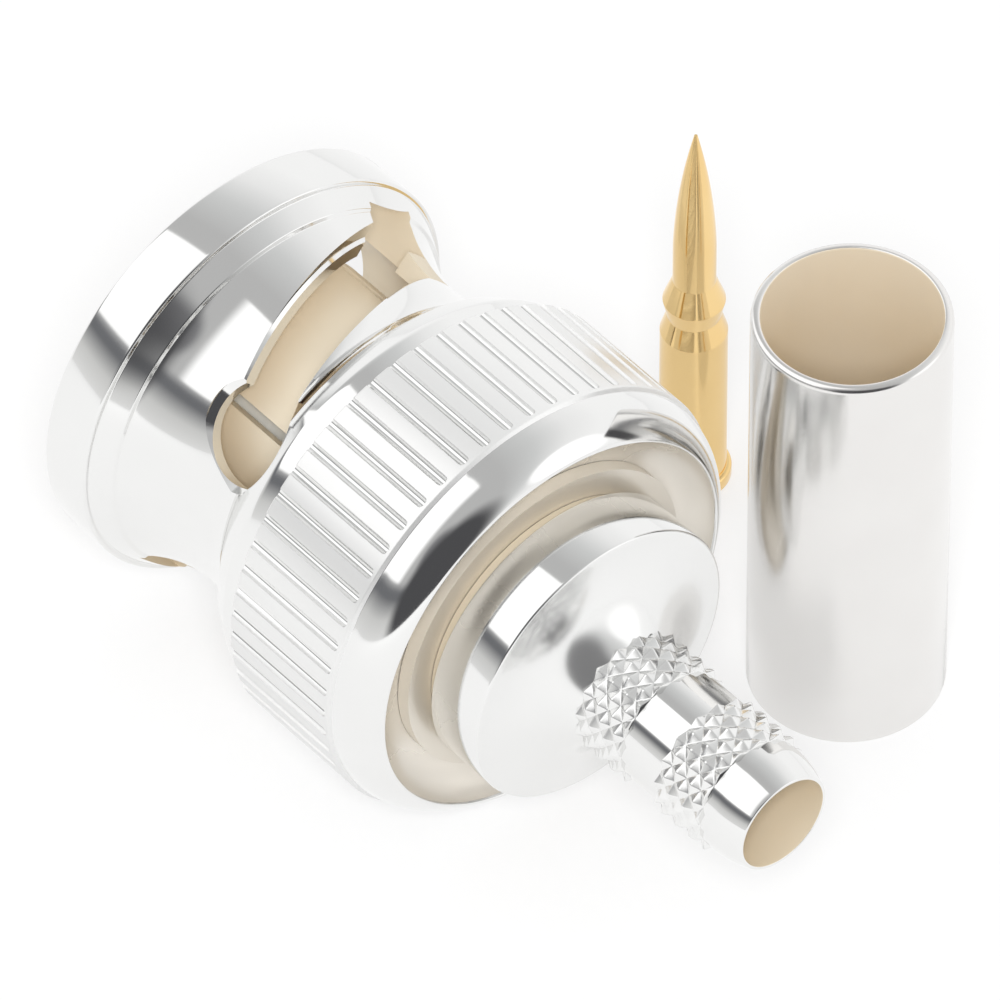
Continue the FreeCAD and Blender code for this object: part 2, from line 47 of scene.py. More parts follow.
# Front body: the slotted outer contact with the flange that carries the gasket and the springs.
# It is turned from brass and silver-plated; its dull, warm tan colour is painted shade, standing in for the
# light inside the slots.
MM = 0.001


def colour(text):
    """An sRGB hex colour as linear red, green, blue and alpha."""
    parts = [int(text[place:place + 2], 16) / 255 for place in (0, 2, 4)]
    linear = [part / 12.92 if part <= 0.04045 else ((part + 0.055) / 1.055) ** 2.4 for part in parts]
    return (*linear, 1)


def add_node(tree, kind, settings=None, links=None):
    """Adds a node, sets its sockets or properties, and links outputs of other nodes into it."""
    node = tree.nodes.new(kind)
    for name, setting in (settings or {}).items():
        if isinstance(name, int) or name in node.inputs:
            node.inputs[name].default_value = setting
        else:
            setattr(node, name, setting)
    for name, output in (links or {}).items():
        tree.links.new(output, node.inputs[name])
    return node


# Plated metal's film lies in clouds about 3 mm wide, and its fine marks show at this share of their depth
CLOUD_SIZE = 3
MARK_STRENGTH = 0.3


def plated_metal(name, bright, dull, roughness, grain_mm, depth_mm, metallic=1):
    """Plated metal: two near shades of the plating, and the fine marks that its making leaves."""
    material = bpy.data.materials.new(name)
    material.use_nodes = True
    tree = material.node_tree
    tree.nodes.clear()
    place = add_node(tree, "ShaderNodeTexCoord").outputs["Object"]
    clouds = {"Scale": 1 / (CLOUD_SIZE * MM), "Detail": 3}
    cloud = add_node(tree, "ShaderNodeTexNoise", clouds, {"Vector": place})
    grains = {"Scale": 1 / (grain_mm * MM), "Detail": 2}
    grain = add_node(tree, "ShaderNodeTexNoise", grains, {"Vector": place})
    shade = add_node(
        tree,
        "ShaderNodeMix",
        {"data_type": "RGBA", 6: colour(bright), 7: colour(dull)},
        {0: cloud.outputs["Fac"]},
    )
    polish = add_node(
        tree,
        "ShaderNodeMapRange",
        {"To Min": roughness[0], "To Max": roughness[1]},
        {"Value": cloud.outputs["Fac"]},
    )
    marks = add_node(
        tree,
        "ShaderNodeBump",
        {"Strength": MARK_STRENGTH, "Distance": depth_mm * MM},
        {"Height": grain.outputs["Fac"]},
    )
    shader = add_node(
        tree,
        "ShaderNodeBsdfPrincipled",
        {"Metallic": metallic},
        {
            "Base Color": shade.outputs[2],
            "Roughness": polish.outputs["Result"],
            "Normal": marks.outputs["Normal"],
        },
    )
    add_node(tree, "ShaderNodeOutputMaterial", links={"Surface": shader.outputs["BSDF"]})
    return material


def finish_in(piece, material):
    """Gives every material slot of a piece the one finish."""
    for slot in piece.material_slots:
        slot.material = material


# The body, the bores and the channels: dull silver whose warm tan colour is painted shade, standing in for
# the warm light reflected about inside them
painted_inner_shade_silver = plated_metal("silver with painted inner shade", "f8ecd6", "f1e3c9", (0.4, 0.5), 0.1, 0.001, metallic=0.25)
finish_in(nodes["front_body"], painted_inner_shade_silver)

# Insulators: the two rings of turned PTFE that hold the contact pin in the middle of the body.
# PTFE is waxy white and satin, with a faint grain from the lathe.
GRAIN_STRENGTH = 0.4


def soft_plastic(name, light, shadow, roughness, grain_mm, depth_mm):
    """Plastic or rubber: a cloudy shade and a fine grain."""
    material = bpy.data.materials.new(name)
    material.use_nodes = True
    tree = material.node_tree
    tree.nodes.clear()
    place = add_node(tree, "ShaderNodeTexCoord").outputs["Object"]
    grains = {"Scale": 1 / (grain_mm * MM), "Detail": 4}
    grain = add_node(tree, "ShaderNodeTexNoise", grains, {"Vector": place})
    shade = add_node(
        tree,
        "ShaderNodeMix",
        {"data_type": "RGBA", 6: colour(light), 7: colour(shadow)},
        {0: grain.outputs["Fac"]},
    )
    marks = add_node(
        tree,
        "ShaderNodeBump",
        {"Strength": GRAIN_STRENGTH, "Distance": depth_mm * MM},
        {"Height": grain.outputs["Fac"]},
    )
    shader = add_node(
        tree,
        "ShaderNodeBsdfPrincipled",
        {"Roughness": roughness},
        {"Base Color": shade.outputs[2], "Normal": marks.outputs["Normal"]},
    )
    add_node(tree, "ShaderNodeOutputMaterial", links={"Surface": shader.outputs["BSDF"]})
    return material


# Skived and turned PTFE: satin, with tool marks about 0.15 mm apart
turned_ptfe = soft_plastic("turned ptfe", "f2f2ee", "e6e6e0", 0.42, 0.15, 0.004)
finish_in(nodes["front_insulator"], turned_ptfe)
finish_in(nodes["rear_insulator"], turned_ptfe)

# Gasket: the silicone ring in front of the flange, which the mating barrel presses when the plug is locked.
# It is moulded, reddish brown and matt.

# Moulded silicone: a soft bloom with a grain of about 0.2 mm
moulded_silicone = soft_plastic("moulded silicone", "b0543c", "96422e", 0.62, 0.2, 0.006)
finish_in(nodes["gasket"], moulded_silicone)

# Springs, thrust washer and retaining ring: strip and wire of spring bronze behind the flange.
# The washers are stamped and bent into waves, and the ring is snapped into its groove.
ALONG_X = Vector((1, 0, 0))
TIP = Vector((0, 0, 0))
EDGE_STEPS = 4
# A corner whose half angle is more than this, in radians, is left as it is
NEARLY_STRAIGHT = 1.5
SMOOTH_BELOW = math.radians(35)


def rounded(corners):
    """The (along, radius) stations of a turned outline, each corner rounded by its third number."""
    stations = []
    count = len(corners)
    for number, (along, radius, edge) in enumerate(corners):
        corner = Vector((along, radius))
        before = (Vector(corners[number - 1][:2]) - corner).normalized()
        after = (Vector(corners[(number + 1) % count][:2]) - corner).normalized()
        half_angle = before.angle(after) / 2 if before.length and after.length else math.pi / 2
        if not edge or half_angle > NEARLY_STRAIGHT:
            stations.append((along, radius))
            continue
        run = edge / math.tan(half_angle)
        middle = corner + (before + after).normalized() * (edge / math.sin(half_angle))
        start = corner + before * run - middle
        end = corner + after * run - middle
        for step in range(EDGE_STEPS + 1):
            stations.append(tuple(middle + start.slerp(end, step / EDGE_STEPS) * edge))
    return stations


def turned(name, stations, steps, origin, axis):
    """Turns a closed outline: a circle is drawn from station to station, then bridged shut."""
    def centre(along):
        return origin + axis * along * MM

    across = Vector((1, 1, 1)) - axis
    turn = axis.to_track_quat("Z", "Y").to_euler()
    along, radius = stations[0]
    bpy.ops.mesh.primitive_circle_add(
        vertices=steps,
        radius=radius * MM,
        location=centre(along),
        rotation=turn,
    )
    piece = bpy.context.object
    piece.name = name
    bpy.ops.object.transform_apply(location=True, rotation=True, scale=True)
    bpy.ops.object.mode_set(mode="EDIT")
    bpy.ops.mesh.select_mode(type="EDGE")
    bpy.ops.mesh.select_all(action="SELECT")
    for next_along, next_radius in stations[1:]:
        step = tuple(axis * (next_along - along) * MM)
        bpy.ops.mesh.extrude_region_move(TRANSFORM_OT_translate={"value": step})
        growth = next_radius / radius
        size = tuple(axis + across * growth)
        bpy.ops.transform.resize(value=size, center_override=centre(next_along))
        along, radius = next_along, next_radius
    bpy.ops.mesh.select_non_manifold(extend=False)
    bpy.ops.mesh.bridge_edge_loops()
    bpy.ops.mesh.select_all(action="SELECT")
    bpy.ops.mesh.normals_make_consistent(inside=False)
    bpy.ops.object.mode_set(mode="OBJECT")
    return piece


# Bare spring bronze strip: satin, warm grey, with rolling marks about 0.08 mm apart
spring_bronze = plated_metal(
    "rolled spring bronze",
    "f4eee3",
    "ebe3d5",
    (0.28, 0.36),
    0.08,
    0.0002,
    metallic=0.5,
)
for name in ("thrust_washer", "retaining_ring"):
    finish_in(nodes[name], spring_bronze)

# The two springs lie crest against crest behind the flange; they are drawn at rest and keep that shape,
# though the real ones flatten against it when the nut is pushed
WAVES = 3
WAVE_SWING = 0.1
STRIP_CORNERS = ((0.08, 4.35), (0.08, 4.85), (-0.08, 4.85), (-0.08, 4.35))
STRIP_EDGE = 0.02
STRIP_STEPS = 108
for name, middle, phase in (
    ("front_wave_washer", -10.64, 0),
    ("rear_wave_washer", -11.02, math.pi),
):
    strip = rounded([(middle + along, radius, STRIP_EDGE) for along, radius in STRIP_CORNERS])
    spring = turned(name + "_strip", strip, STRIP_STEPS, TIP, ALONG_X)
    for vertex in spring.data.vertices:
        angle = math.atan2(vertex.co.y, vertex.co.z)
        vertex.co.x += WAVE_SWING * MM * math.cos(WAVES * angle + phase)
    bpy.ops.object.shade_smooth_by_angle(angle=SMOOTH_BELOW)
    spring.data.materials.append(spring_bronze)
    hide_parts(name)
    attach(spring, "plug_body")
    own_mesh(spring)

# Coupling nut: one turned brass ring with a plain collar, a hollow waist and a fluted grip.
# Two channels lead the mating studs into cam slots that end in round detent holes. It is silver-plated.
NUT_STEPS = 432
OUTER_RADIUS = 7.25


def bowed(start, end, radius, side, steps):
    """Corners on an arc from start to end, ends left out; it bows away from the axis if side is 1."""
    start, end = Vector(start), Vector(end)
    chord = end - start
    square = Vector((chord.y, -chord.x)).normalized()
    if square.y < 0:
        square = -square
    sink = math.sqrt(radius ** 2 - (chord.length / 2) ** 2)
    middle = (start + end) / 2 - square * side * sink
    spokes = (start - middle, end - middle)
    places = [middle + spokes[0].slerp(spokes[1], step / steps) * radius for step in range(1, steps)]
    return [(*place, 0) for place in places]


def pick_faces(piece, wanted):
    """Selects the faces of a piece that pass a test, and opens it for editing."""
    bpy.context.view_layer.objects.active = piece
    bpy.ops.object.mode_set(mode="EDIT")
    bpy.ops.mesh.select_mode(type="FACE")
    bpy.ops.mesh.select_all(action="DESELECT")
    bpy.ops.object.mode_set(mode="OBJECT")
    for face in piece.data.polygons:
        face.select = wanted(face)
    bpy.ops.object.mode_set(mode="EDIT")


def finish_faces(piece, wanted, material):
    """Gives a further finish to the faces of a piece that pass a test."""
    piece.data.materials.append(material)
    pick_faces(piece, wanted)
    piece.active_material_index = len(piece.data.materials) - 1
    bpy.ops.object.material_slot_assign()
    bpy.ops.object.mode_set(mode="OBJECT")


def cut(piece, cutter):
    """Cuts a shape out of a piece, and takes the cutter away."""
    modifier = piece.modifiers.new("cut", "BOOLEAN")
    modifier.object = cutter
    modifier.solver = "EXACT"
    bpy.context.view_layer.objects.active = piece
    bpy.ops.object.modifier_apply(modifier=modifier.name)
    bpy.data.objects.remove(cutter)


nut_outline = [
    (1.6, 5.37, 0.04),
    (1.6, 6.8, 0.12),
    (-0.15, 6.8, 0.1),
    (-0.15, 6.62, 0.06),
    (-0.79, 6.27, 0.08),
    (-0.84, 6.15, 0.04),
    *bowed((-0.84, 6.15), (-5.2, 5.93), 4.4, -1, 30),
    (-5.2, 5.93, 0),
    (-5.75, 6.5, 0.3),
    (-6.5, 6.92, 0.5),
    (-7.1, 6.96, 0.03),
    (-7.2, OUTER_RADIUS, 0.06),
    (-11.45, OUTER_RADIUS, 0.08),
    (-11.55, 7.13, 0.05),
    *bowed((-11.55, 7.13), (-12.92, 6.3), 1.6, 1, 12),
    (-12.92, 6.3, 0.05),
    *bowed((-12.92, 6.3), (-12.04, 5.15), 1.3, 1, 14),
    (-12.04, 5.15, 0),
    (-12.04, 4.35, 0.04),
    (-11.44, 4.35, 0),
    (-11.44, 4.92, 0),
    (1.15, 4.92, 0.04),
]
nut = turned("bayonet_nut_shell", rounded(nut_outline), NUT_STEPS, TIP, ALONG_X)

# The stud channels, 2.1 mm wide, run in from the front; the nut is at rest 44.7 degrees from the plug's top
REST_TURN = math.radians(44.7)
CHANNEL_WIDTH = 2.1
CHANNEL_REACH = 6.28
CHANNEL_FRONT = 2.0
CAM_START = -2.0
bpy.ops.mesh.primitive_cube_add(size=1, location=(0, 0, 0))
cutter = bpy.context.object
channel_length = CHANNEL_FRONT - CAM_START
cutter.scale = (channel_length * MM, CHANNEL_WIDTH * MM, 2 * CHANNEL_REACH * MM)
cutter.location = ((CHANNEL_FRONT + CAM_START) / 2 * MM, 0, 0)
bpy.ops.object.transform_apply(location=True, rotation=False, scale=True)
bpy.ops.object.mode_set(mode="EDIT")
bpy.ops.transform.rotate(value=-REST_TURN, orient_axis="X", center_override=TIP)
bpy.ops.object.mode_set(mode="OBJECT")
cut(nut, cutter)

# Each cam slot winds back 2.5 mm in a little over a quarter turn
CAM_RISE = 2.5
CAM_ANGLE = math.radians(93.6)
CAM_REACH = 6.4
CAM_FLOOR = 4.4
CAM_STEPS = 36
# The edges of the slots are broken: from this reach outwards they open by this much on each side
BREAK_REACH = 5.4
EDGE_BREAK = 0.1
for first_angle in (-REST_TURN, math.pi - REST_TURN):
    bpy.ops.mesh.primitive_plane_add(size=1, location=(0, 0, 0), rotation=(math.pi / 2, 0, 0))
    cutter = bpy.context.object
    cutter.scale = (CHANNEL_WIDTH * MM, (BREAK_REACH - CAM_FLOOR) * MM, 1)
    cutter.location = (CAM_START * MM, 0, (BREAK_REACH + CAM_FLOOR) / 2 * MM)
    bpy.ops.object.transform_apply(location=True, rotation=True, scale=True)
    bpy.ops.object.mode_set(mode="EDIT")
    bpy.ops.mesh.select_mode(type="EDGE")
    bpy.ops.mesh.select_all(action="DESELECT")
    bpy.ops.object.mode_set(mode="OBJECT")
    half_way = (BREAK_REACH + CAM_FLOOR) / 2 * MM
    for edge in cutter.data.edges:
        edge.select = all(cutter.data.vertices[end].co.z > half_way for end in edge.vertices)
    bpy.ops.object.mode_set(mode="EDIT")
    bpy.ops.mesh.extrude_region_move(TRANSFORM_OT_translate={"value": (0, 0, EDGE_BREAK * MM)})
    widening = 1 + 2 * EDGE_BREAK / CHANNEL_WIDTH
    bpy.ops.transform.resize(value=(widening, 1, 1), center_override=(CAM_START * MM, 0, 0))
    top = (CAM_REACH - BREAK_REACH - EDGE_BREAK) * MM
    bpy.ops.mesh.extrude_region_move(TRANSFORM_OT_translate={"value": (0, 0, top)})
    bpy.ops.mesh.select_mode(type="FACE")
    bpy.ops.mesh.select_all(action="SELECT")
    bpy.ops.transform.rotate(value=first_angle, orient_axis="X", center_override=TIP)
    for step in range(CAM_STEPS):
        back = (-CAM_RISE / CAM_STEPS * MM, 0, 0)
        bpy.ops.mesh.extrude_region_move(TRANSFORM_OT_translate={"value": back})
        bpy.ops.transform.rotate(value=CAM_ANGLE / CAM_STEPS, orient_axis="X", center_override=TIP)
    bpy.ops.mesh.select_all(action="SELECT")
    bpy.ops.mesh.normals_make_consistent(inside=False)
    bpy.ops.object.mode_set(mode="OBJECT")
    cut(nut, cutter)

# A detent hole, 3.2 mm across, takes the stud at the end of each slot
DETENT_RADIUS = 1.6
DETENT_PLACE = -4.4
RIM_REACH = 5.25
RIM_BREAK = 0.2
RIM_RUN = 2.0
DETENT_STEPS = 96
# A face is an end of a cutter when its normal lies along the cutter to within this cosine
END_COSINE = 0.9
hole_turn = math.pi / 2 - REST_TURN
bpy.ops.mesh.primitive_cylinder_add(
    vertices=DETENT_STEPS,
    radius=DETENT_RADIUS * MM,
    depth=2 * RIM_REACH * MM,
)
cutter = bpy.context.object
for side in (1, -1):
    pick_faces(cutter, lambda face: face.normal.z * side > END_COSINE)
    rim = (0, 0, side * RIM_BREAK * MM)
    bpy.ops.mesh.extrude_region_move(TRANSFORM_OT_translate={"value": rim})
    widening = 1 + RIM_BREAK / DETENT_RADIUS
    bpy.ops.transform.resize(value=(widening, widening, 1), center_override=TIP)
    bpy.ops.mesh.extrude_region_move(TRANSFORM_OT_translate={"value": (0, 0, side * RIM_RUN * MM)})
    bpy.ops.object.mode_set(mode="OBJECT")
cutter.location = (DETENT_PLACE * MM, 0, 0)
bpy.ops.object.transform_apply(location=True, rotation=False, scale=False)
bpy.ops.object.mode_set(mode="EDIT")
bpy.ops.mesh.select_all(action="SELECT")
bpy.ops.transform.rotate(value=hole_turn, orient_axis="X", center_override=TIP)
bpy.ops.object.mode_set(mode="OBJECT")
cut(nut, cutter)

# Fifty-four half-round flutes are rolled into the grip, each with a rounded end
FLUTES = 54
FLUTE_RADIUS = 0.17
FLUTE_FRONT = -7.0
FLUTE_REAR = -11.35
FLUTE_STEPS = 16
FLUTE_END_ROUNDING = 0.12
flute_length = FLUTE_FRONT - FLUTE_REAR
bpy.ops.mesh.primitive_cylinder_add(
    vertices=FLUTE_STEPS,
    radius=FLUTE_RADIUS * MM,
    depth=flute_length * MM,
    location=((FLUTE_FRONT + FLUTE_REAR) / 2 * MM, 0, OUTER_RADIUS * MM),
    rotation=(0, math.pi / 2, 0),
)
cutter = bpy.context.object
bpy.ops.object.transform_apply(location=True, rotation=True, scale=True)
pick_faces(cutter, lambda face: face.normal.x < -END_COSINE)
bpy.ops.mesh.bevel(offset=FLUTE_END_ROUNDING * MM, segments=3)
bpy.ops.mesh.select_all(action="SELECT")
bpy.ops.transform.rotate(value=-REST_TURN, orient_axis="X", center_override=TIP)
for flute in range(1, FLUTES):
    bpy.ops.mesh.duplicate()
    bpy.ops.transform.rotate(value=2 * math.pi / FLUTES, orient_axis="X", center_override=TIP)
bpy.ops.object.mode_set(mode="OBJECT")
cut(nut, cutter)
bpy.ops.object.select_all(action="DESELECT")
nut.select_set(True)
bpy.context.view_layer.objects.active = nut
bpy.ops.object.shade_smooth_by_angle(angle=math.radians(32))
# Polished silver over a nickel strike: mirror-like, with polishing marks about 0.1 mm apart
silver_plate = plated_metal("bright silver plate", "f1f1f0", "ebebea", (0.05, 0.09), 0.1, 0.0002)
nut.data.materials.append(silver_plate)
BORE_LIMIT = 4.97
CHANNEL_WALL = 1.07
CHANNEL_LIMIT = 6.4
CHANNEL_REAR = -3.1


def in_bore_or_channel(face):
    """Whether a face of the nut lies in its bore or on a wall of the stud channels."""
    x, y, z = face.center / MM
    across = y * math.cos(REST_TURN) + z * math.sin(REST_TURN)
    in_channel = abs(across) < CHANNEL_WALL and math.hypot(y, z) < CHANNEL_LIMIT and x > CHANNEL_REAR
    return math.hypot(y, z) < BORE_LIMIT or in_channel


# The nut's bore and stud channels get the painted warm inner shade
finish_faces(nut, in_bore_or_channel, painted_inner_shade_silver)
# Rolled silver plate on the grip: the rollers leave it satin, with marks about 0.1 mm apart
rolled_silver = plated_metal(
    "rolled silver plate",
    "f6f6f5",
    "f1f1f0",
    (0.28, 0.36),
    0.1,
    0.0004,
    metallic=0.55,
)
GRIP_FRONT = -7.15
GRIP_REAR = -11.56
GRIP_LIMIT = 7.14


def on_the_grip(face):
    """Whether a face of the nut lies on the grip, between the flutes or on an edge of it."""
    return GRIP_REAR < face.center.x / MM < GRIP_FRONT and face.center.yz.length > GRIP_LIMIT * MM


finish_faces(nut, on_the_grip, rolled_silver)
# Turned silver plate in the rear recess, with tool marks 0.08 mm apart; its warmer colour is painted shade
# for the light reflected about in the recess
recess_shade_silver = plated_metal(
    "turned silver with painted recess shade",
    "faf5ec",
    "f4ede1",
    (0.24, 0.32),
    0.08,
    0.0002,
    metallic=0.5,
)
RECESS_MOUTH = -12.85
RECESS_FLOOR = -11.4
RECESS_LIMIT = 6.25


def in_the_recess(face):
    """Whether a face of the nut lies in the recess at its rear."""
    reach = math.hypot(face.center.y, face.center.z) / MM
    return reach < RECESS_LIMIT and RECESS_MOUTH < face.center.x / MM < RECESS_FLOOR


# The recess gets the painted warm shade
finish_faces(nut, in_the_recess, recess_shade_silver)
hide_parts("coupling_nut")
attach(nut, "bayonet_nut")

# Rear body: a turned brass tube pressed into the front body, with a flange, a flared neck and a stem.
# The stem has two bands of rolled diamond knurling, which hold the cable's braid; it is silver-plated.
FLANGE_FRONT = -12.95
FLANGE_REAR = -14.94
STEM_FRONT = -16.19
STEM_END = -22.91
STEM_RADIUS = 1.85
STEM_STEPS = 192
rear_outline = [
    (-12.03, 1.5, 0.03),
    (-12.03, 3.15, 0.03),
    (FLANGE_FRONT, 3.15, 0),
    (FLANGE_FRONT, 4.63, 0.05),
    (FLANGE_REAR, 4.63, 0.09),
    (FLANGE_REAR - 0.01, 4.54, 0),
    *bowed((FLANGE_REAR - 0.01, 4.54), (STEM_FRONT, STEM_RADIUS), 3.2, -1, 14),
    (STEM_FRONT, STEM_RADIUS, 0),
    (-21.81, STEM_RADIUS, 0),
    *bowed((-21.81, STEM_RADIUS), (STEM_END, 1.6), 4.0, 1, 8),
    (STEM_END, 1.6, 0.04),
    (STEM_END, 1.5, 0.03),
]
stem = turned("rear_body_shell", rounded(rear_outline), STEM_STEPS, TIP, ALONG_X)

# Each knurl is a lattice of 16 diamonds round by 3 long, drawn up from a plain band between its grooves
KNURL_COLUMNS = 32
KNURL_ROWS = 6
KNURL_LENGTH = 1.85
KNURL_PEAK = 2.08
KNURL_VALLEY = 1.87
KNURL_CORE = 1.7
KNURL_SOFTENING = 0.05
for front in (STEM_FRONT, -19.59):
    row_length = KNURL_LENGTH / KNURL_ROWS
    band_stations = [(front - row * row_length, KNURL_PEAK) for row in range(KNURL_ROWS + 1)]
    band_stations += [(front - KNURL_LENGTH, KNURL_CORE), (front, KNURL_CORE)]
    band = turned("knurl_band", band_stations, KNURL_COLUMNS, TIP, ALONG_X)
    for vertex in band.data.vertices:
        x, y, z = vertex.co / MM
        column = round(math.atan2(y, z) / (2 * math.pi / KNURL_COLUMNS))
        row = round((front - x) / row_length)
        vertex.select = math.hypot(y, z) > KNURL_VALLEY and (column + row) % 2 == 0
    for part in (band.data.edges, band.data.polygons):
        part.foreach_set("select", [False] * len(part))
    bpy.ops.object.mode_set(mode="EDIT")
    bpy.ops.mesh.select_mode(type="VERT")
    sinking = KNURL_VALLEY / KNURL_PEAK
    bpy.ops.transform.resize(value=(1, sinking, sinking), center_override=TIP)
    bpy.ops.mesh.select_all(action="SELECT")
    bpy.ops.mesh.quads_convert_to_tris(quad_method="SHORTEST_DIAGONAL")
    bpy.ops.object.mode_set(mode="OBJECT")
    softening = band.modifiers.new("rolled_edges", "BEVEL")
    softening.width = KNURL_SOFTENING * MM
    softening.segments = 2
    softening.limit_method = "ANGLE"
    softening.angle_limit = math.radians(12)
    bpy.ops.object.modifier_apply(modifier=softening.name)
    bpy.ops.object.select_all(action="DESELECT")
    band.select_set(True)
    stem.select_set(True)
    bpy.context.view_layer.objects.active = stem
    bpy.ops.object.join()
bpy.ops.object.shade_smooth_by_angle(angle=SMOOTH_BELOW)
stem.data.materials.append(silver_plate)
STEM_BORE_LIMIT = 1.51
# The stem's bore gets the painted warm inner shade
finish_faces(stem, lambda face: face.center.yz.length < STEM_BORE_LIMIT * MM, painted_inner_shade_silver)
# The cone and the knurls aren't polished after turning and rolling: satin, with marks about 0.1 mm apart
satin_silver = plated_metal(
    "satin silver plate",
    "f4f4f3",
    "eeeeed",
    (0.14, 0.2),
    0.1,
    0.0003,
    metallic=0.85,
)
CONE_FRONT = -14.91
SATIN_LIMIT = 1.86


def on_cone_or_knurl(face):
    """Whether a face of the rear body lies on its cone or on a knurled band."""
    return face.center.x / MM < CONE_FRONT and face.center.yz.length > SATIN_LIMIT * MM


finish_faces(stem, on_cone_or_knurl, satin_silver)
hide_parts("rear_body")
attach(stem, "plug_body")

# Contact pin: turned brass with a bright gold plating, standing on the rim of its crimp barrel.
# The shaft's point leads into the mating socket, and the barb holds it in the insulator.
ALONG_Z = Vector((0, 0, 1))
PIN_FOOT = Vector((-6.22, -11.27, -OUTER_RADIUS)) * MM
PIN_STEPS = 128
pin_outline = [
    (0, 0.5, 0.02),
    (0, 1.15, 0.1),
    (0.5, 1.15, 0.1),
    (0.5, 1.0, 0.02),
    (6.27, 1.0, 0.04),
    (6.94, 0.8, 0.1),
    (7.56, 0.93, 0.1),
    (8.39, 0.64, 0.1),
    (9.9, 0.64, 0),
    *bowed((9.9, 0.64), (14.46, 0.05), 24.0, 1, 16),
    (14.46, 0.05, 0),
    (14.46, 0.002, 0),
    (4.6, 0.002, 0),
    (4.6, 0.5, 0),
]
pin = turned("gold_pin", rounded(pin_outline), PIN_STEPS, PIN_FOOT, ALONG_Z)
bpy.ops.object.shade_smooth_by_angle(angle=SMOOTH_BELOW)
# Hard gold over nickel: bright, with the lathe's marks about 0.05 mm apart showing faintly through it
gold_plate = plated_metal("bright gold plate", "f8dba2", "eec886", (0.08, 0.14), 0.05, 0.0002)
pin.data.materials.append(gold_plate)
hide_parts("contact_pin")
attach(pin, "plug_body")

# Crimp ferrule: a plain drawn tube of soft copper alloy, cut to length, with its edges tumbled round.
# It slides over the cable's braid on the stem before it is crimped. It is plated with silver.
FERRULE_FOOT = Vector((-14.91, -9.58, -OUTER_RADIUS)) * MM
FERRULE_STEPS = 256
ferrule_outline = [
    (0, 2.63, 0.07),
    (0, 2.92, 0.09),
    (15.16, 2.92, 0.2),
    (15.16, 2.63, 0.07),
]
ferrule = turned("ferrule_tube", rounded(ferrule_outline), FERRULE_STEPS, FERRULE_FOOT, ALONG_Z)
bpy.ops.object.shade_smooth_by_angle(angle=SMOOTH_BELOW)
# Tumbled silver plate: satin, with draw marks about 0.12 mm apart
soft_silver = plated_metal("tumbled silver plate", "efeeec", "e8e6e4", (0.15, 0.22), 0.12, 0.0006)
ferrule.data.materials.append(soft_silver)
# The ferrule's bore: dull, and its pale warm colour is painted light, standing in for the light that reaches
# inside it
bore_light_silver = plated_metal("silver with painted bore light", "fbf1df", "f6e9d2", (0.4, 0.5), 0.1, 0.001, metallic=0.25)
FERRULE_BORE_LIMIT = 2.66


def in_ferrule_bore(face):
    """Whether a face of the ferrule lies in its bore."""
    return (face.center - FERRULE_FOOT).xy.length < FERRULE_BORE_LIMIT * MM


# The ferrule's bore gets the painted pale bore light
finish_faces(ferrule, in_ferrule_bore, bore_light_silver)
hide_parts("crimp_ferrule")
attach(ferrule, "plug_body")

# Studio: a white paper floor, and a tent of white cloth round it that only the metal mirrors.
# The tent has a softbox overhead, a grey ceiling, a dark strip at one side, and darker patches by the camera.
FLOOR_LEVEL = -OUTER_RADIUS * MM
FLOOR_SIZE = 4
FLOOR_GLOW = 0.6
bpy.ops.mesh.primitive_plane_add(size=FLOOR_SIZE, location=(0, 0, FLOOR_LEVEL))
floor = bpy.context.object
floor.name = "floor"
# White paper: matt, and lit through from below so that it stays white in the picture and in the metal
paper = bpy.data.materials.new("white paper sweep")
paper.use_nodes = True
tree = paper.node_tree
tree.nodes.clear()
glow = add_node(tree, "ShaderNodeEmission", {"Color": colour("ffffff"), "Strength": FLOOR_GLOW})
matt = add_node(tree, "ShaderNodeBsdfDiffuse", {"Color": colour("b0b0b0")})
both = add_node(tree, "ShaderNodeAddShader", links={0: glow.outputs[0], 1: matt.outputs[0]})
ray = add_node(tree, "ShaderNodeLightPath")
seen = add_node(
    tree,
    "ShaderNodeMath",
    {"operation": "ADD"},
    {0: ray.outputs["Is Camera Ray"], 1: ray.outputs["Is Glossy Ray"]},
)
seen = add_node(
    tree,
    "ShaderNodeMath",
    {"operation": "ADD", "use_clamp": True},
    {0: seen.outputs[0], 1: ray.outputs["Is Transmission Ray"]},
)
shown = add_node(
    tree,
    "ShaderNodeMixShader",
    links={0: seen.outputs[0], 1: matt.outputs[0], 2: both.outputs[0]},
)
add_node(tree, "ShaderNodeOutputMaterial", links={"Surface": shown.outputs[0]})
floor.data.materials.append(paper)

TENT_RADIUS = 0.7
TENT_SKIRT = 0.04
TENT_GLOW = 1.25
bpy.ops.mesh.primitive_uv_sphere_add(segments=96, ring_count=48, radius=TENT_RADIUS)
tent = bpy.context.object
tent.name = "tent"
pick_faces(tent, lambda face: face.center.z < FLOOR_LEVEL - TENT_SKIRT)
bpy.ops.mesh.delete(type="FACE")
bpy.ops.object.mode_set(mode="OBJECT")


def tent_place(round_axis, along_axis):
    """The place on the tent at an angle round the plug's axis, and at one from its middle towards +X."""
    turn, lean = math.radians(round_axis), math.radians(along_axis)
    return (
        TENT_RADIUS * math.sin(lean),
        TENT_RADIUS * math.cos(lean) * math.sin(turn),
        TENT_RADIUS * math.cos(lean) * math.cos(turn),
    )


def share_of_turn(degrees):
    """An angle round the plug's axis as a share of a turn, which starts opposite the top."""
    return (degrees + 180) / 360


